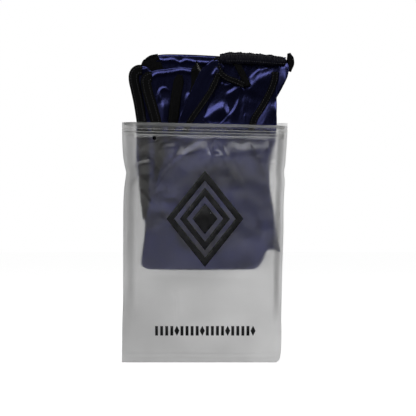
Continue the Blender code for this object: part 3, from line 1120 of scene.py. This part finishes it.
right_edge = [(75, 303), (74.5, 295), (70, 282), (61, 266), (53.5, 254), (50, 240)]
tape("side_fold_binding", right_edge, on_side, "side_panel_binding", width=7, lift=0.5)
sewn("side_fold_stitches", right_edge, on_side, 7, lift=1.1)

loop_route = [(14, 318), (15, 309), (19, 301), (26, 296), (34, 293), (43, 289)]
tape("binding_loop_tape", loop_route, on_side, "binding_loop", width=6, lift=4.4)
sewn("binding_loop_stitches", loop_route, on_side, 6, lift=5.0)
tail_route = [(34.5, 313), (38.5, 305), (42.5, 297), (46, 288)]
tape("loop_tail", tail_route, on_side, width=6.8, lift=3.6)

# ----------------------------------------
# The corner lobe: the end of the satin, drawn out to the right by the gathers and folded over,
# with its tip bound in the same black tape.


def lobe_relief(x, z):
    """One soft fold down the lobe, on a swelling side."""
    out = lit(x, z, [(82, 286), (85, 297), (85, 308), (82, 314)], 4.0, 0.3, (0.2, 0.2), 1.2)
    out += swell(x, z, (86, 296), (7, 16), 3.0)
    return out + rumple(x, z, 9, 0.3, 4.4) + streaks(x, z, 70, 16, 2.2, 0.14, 1.7)


lobe = folded_sheet(
    "corner_lobe_satin",
    (
        [(74, 276), (72, 295), (74, 314)],
        [(76, 276.5), (83, 289), (88.5, 301), (89, 311), (86, 318.5)],
        [(74, 314), (80, 317.5), (86, 318.5)],
        [(74, 276), (76, 276.5)],
    ),
    (-8.0, -4.6),
    lobe_relief,
    navy,
    cols=50,
    rows=(70, 8, 30),
)
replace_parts(as_satin(lobe), "corner_lobe")

tip_route = [(89.3, 322.3), (90.8, 317), (91.4, 311), (90, 303)]
tape("lobe_tip_binding", tip_route, lambda x, z: -8.3 + 0 * x, "lobe_binding", width=7.4, lift=0.6,
     dome=1.8, taper=(0.3, 0.5), blunt=0.5)

# ----------------------------------------
# The gathered edge: a black satin-faced casing, sewn along the right-hand panel's top edge and
# ruched by the flat elastic that runs inside it.


def casing_cloth():
    """Black casing cloth with a slight gloss on its gathers."""
    mat, tree = node_tree("casing_cloth")
    cloth = add(tree, "TexCoord").outputs["UV"]
    grain = grain_of(tree, cloth, 500.0, 3.0)
    tint = ramp(tree, grain, [(0.3, (0.0015, 0.0015, 0.004)), (0.75, (0.006, 0.006, 0.016))])
    raised = bump(tree, 0.4, 0.0004, grain)
    gloss = math_of(tree, "MULTIPLY_ADD", grain, 0.3, 0.30)
    return finish(mat, Base_Color=tint, Roughness=gloss, Normal=raised,
                  Specular_IOR_Level=0.2)


def gathered_tube(name, route, heights, depth, pleats, mat):
    """A ruched tube along a route of (x, y, z), with an oval section and pleats round it."""
    count, around = 420, 28
    path = smooth_path(route, count)
    t = np.linspace(0, 1, count)[:, None]
    turn = np.linspace(0, 2 * math.pi, around)[None, :]
    tall = np.interp(t, np.linspace(0, 1, len(heights)), heights) / 2
    phase = 2 * math.pi * pleats * t + 2.6 * np.sin(2 * math.pi * 4.3 * t)
    phase = phase + 1.6 * np.sin(turn + 3 * t)
    ruche = 1 + 0.15 * np.sin(phase) * (0.75 + 0.25 * np.sin(9.1 * t + 2 * turn))
    ruche += 0.06 * np.sin(2.3 * phase + 2 * turn)
    uneven = 1 + 0.06 * np.sin(2 * math.pi * 6.7 * t + 0.8) * np.ones_like(turn)
    closing = np.sqrt(np.clip(np.minimum(t, 1 - t) / 0.03, 0, 1))
    tall, uneven = tall * closing, uneven * (0.02 + 0.98 * closing)
    y = path[:, 1:2] - depth / 2 * np.cos(turn) * ruche * uneven
    z = path[:, 2:3] + tall * np.sin(turn) * (1 + 0.35 * (ruche - 1)) * uneven
    x = path[:, 0:1] + 0.4 * np.sin(phase + turn) + 0 * turn
    return grid_object(name, np.stack([x, y, z], axis=-1), mat, closed=True)


casing_route = [(16, -11.5, 315), (24, -12, 317), (45, -12.5, 316.8), (65, -12, 315.4),
                (80, -11, 314.2), (87, -9.5, 314)]
casing_heights = [10, 12, 11.5, 11, 10.5, 7]
casing = gathered_tube("ruched_casing", casing_route, casing_heights, 4.6, 27, casing_cloth())
thicken(casing, 0.3)
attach(casing, "wrap")
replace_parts(casing, "gathered_casing")
casing_rows = [[(x, y - 3.1, z + up) for x, y, z in casing_route[1:]] for up in (3.4, -3.0)]
stitches("casing_stitches", casing_rows, black_thread, pitch=2.2)


def elastic():
    """Black flat elastic, ribbed along its length by its rubber cords."""
    mat, tree = node_tree("black_elastic")
    solid = add(tree, "TexCoord").outputs["Object"]
    cords = add(tree, "TexWave", Vector=solid, Scale=300.0, Distortion=0.4, Detail=1.0)
    cords.bands_direction = "Z"
    wraps = grain_of(tree, solid, 900.0, 2.0)
    mixed = math_of(tree, "MULTIPLY", cords.outputs["Fac"], wraps)
    tint = ramp(tree, mixed, [(0.1, (0.003, 0.003, 0.0035)), (0.7, (0.014, 0.014, 0.015))])
    raised = bump(tree, 0.5, 0.0003, mixed)
    return finish(mat, Base_Color=tint, Roughness=0.8, Normal=raised,
                  Specular_IOR_Level=0.25)


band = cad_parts["elastic_band"]
band.data.materials.clear()
band.data.materials.append(elastic())
